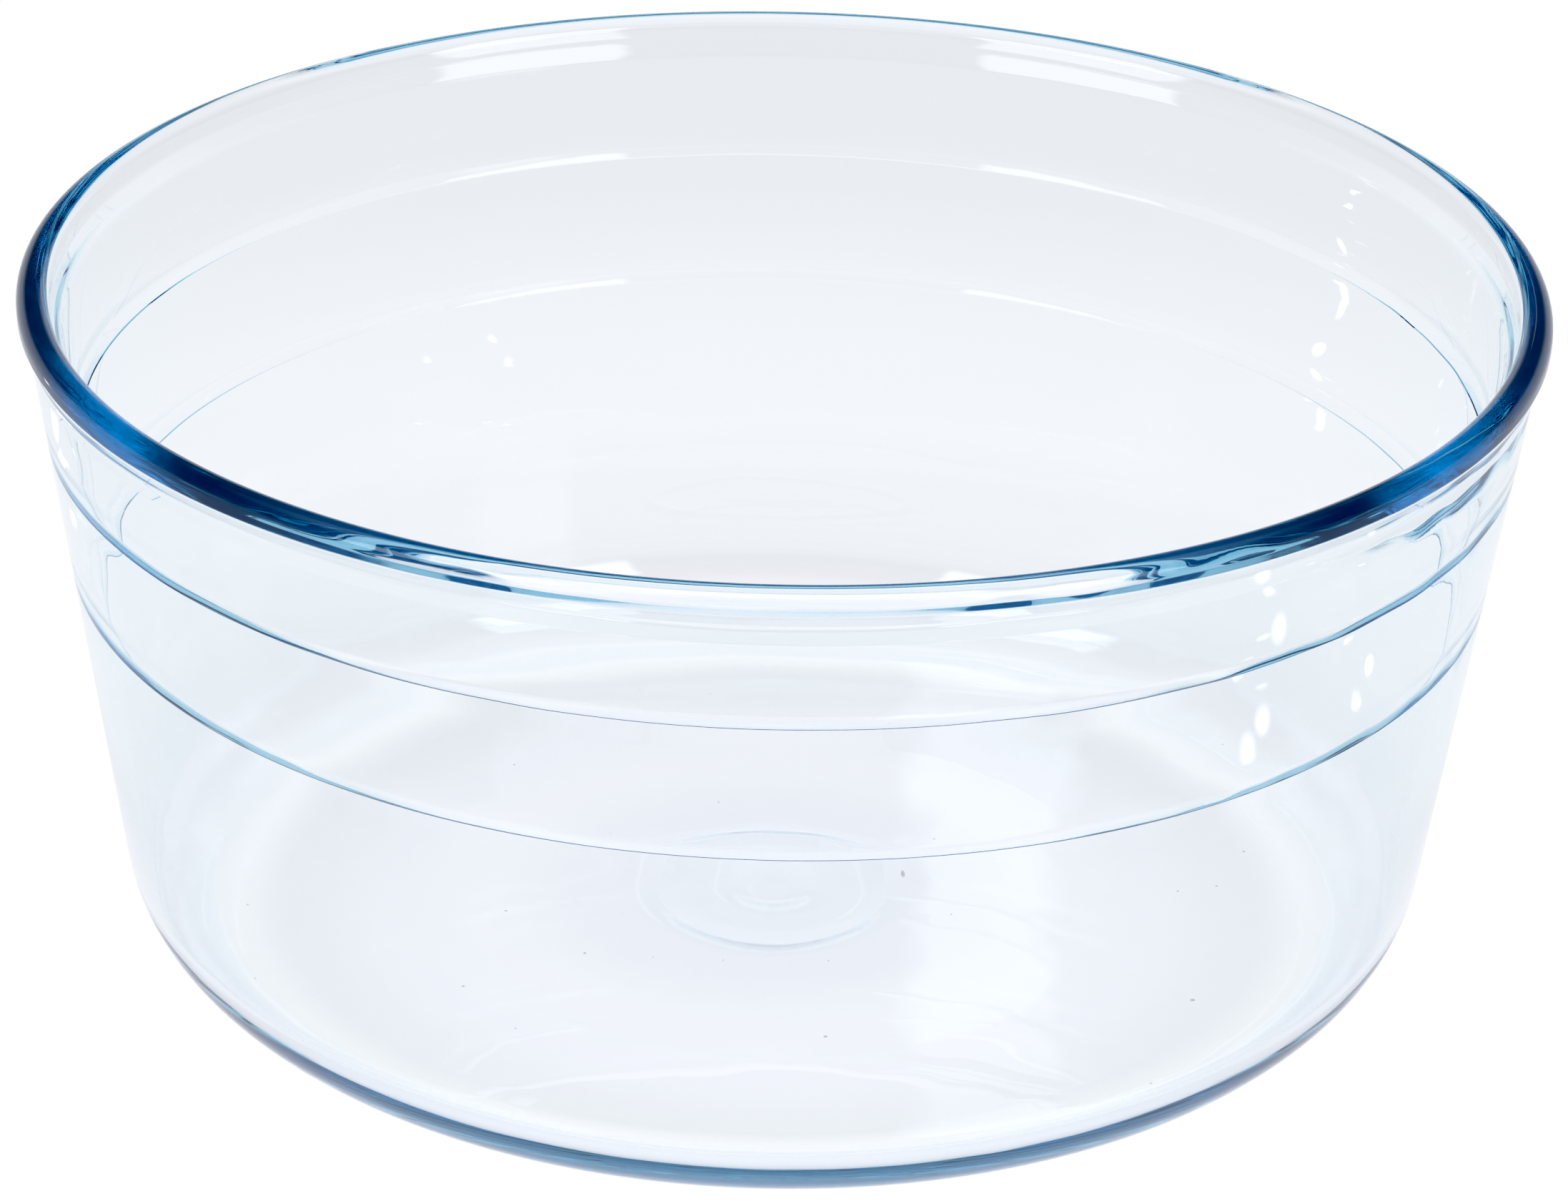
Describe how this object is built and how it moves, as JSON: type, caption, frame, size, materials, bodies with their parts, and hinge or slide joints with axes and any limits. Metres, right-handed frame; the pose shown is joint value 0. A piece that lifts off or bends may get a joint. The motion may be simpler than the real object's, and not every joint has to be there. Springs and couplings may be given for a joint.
{
  "type": "round glass dish",
  "caption": "Round, straight-sided open dish of clear pressed glass, with a thick rounded rim, tapering wall, stepped inner ledges and a flat foot to stand on.",
  "frame": {"origin": "on the dish's axis, in the plane of the foot ring that it stands on", "axes": "+Z along the dish's axis, up out of its open mouth"},
  "size_m": [0.21, 0.21, 0.0988],
  "materials": {
    "glass": "clear, fire-polished"
  },
  "bodies": {
    "root": {"dish": "glass"}
  },
  "joints": []
}
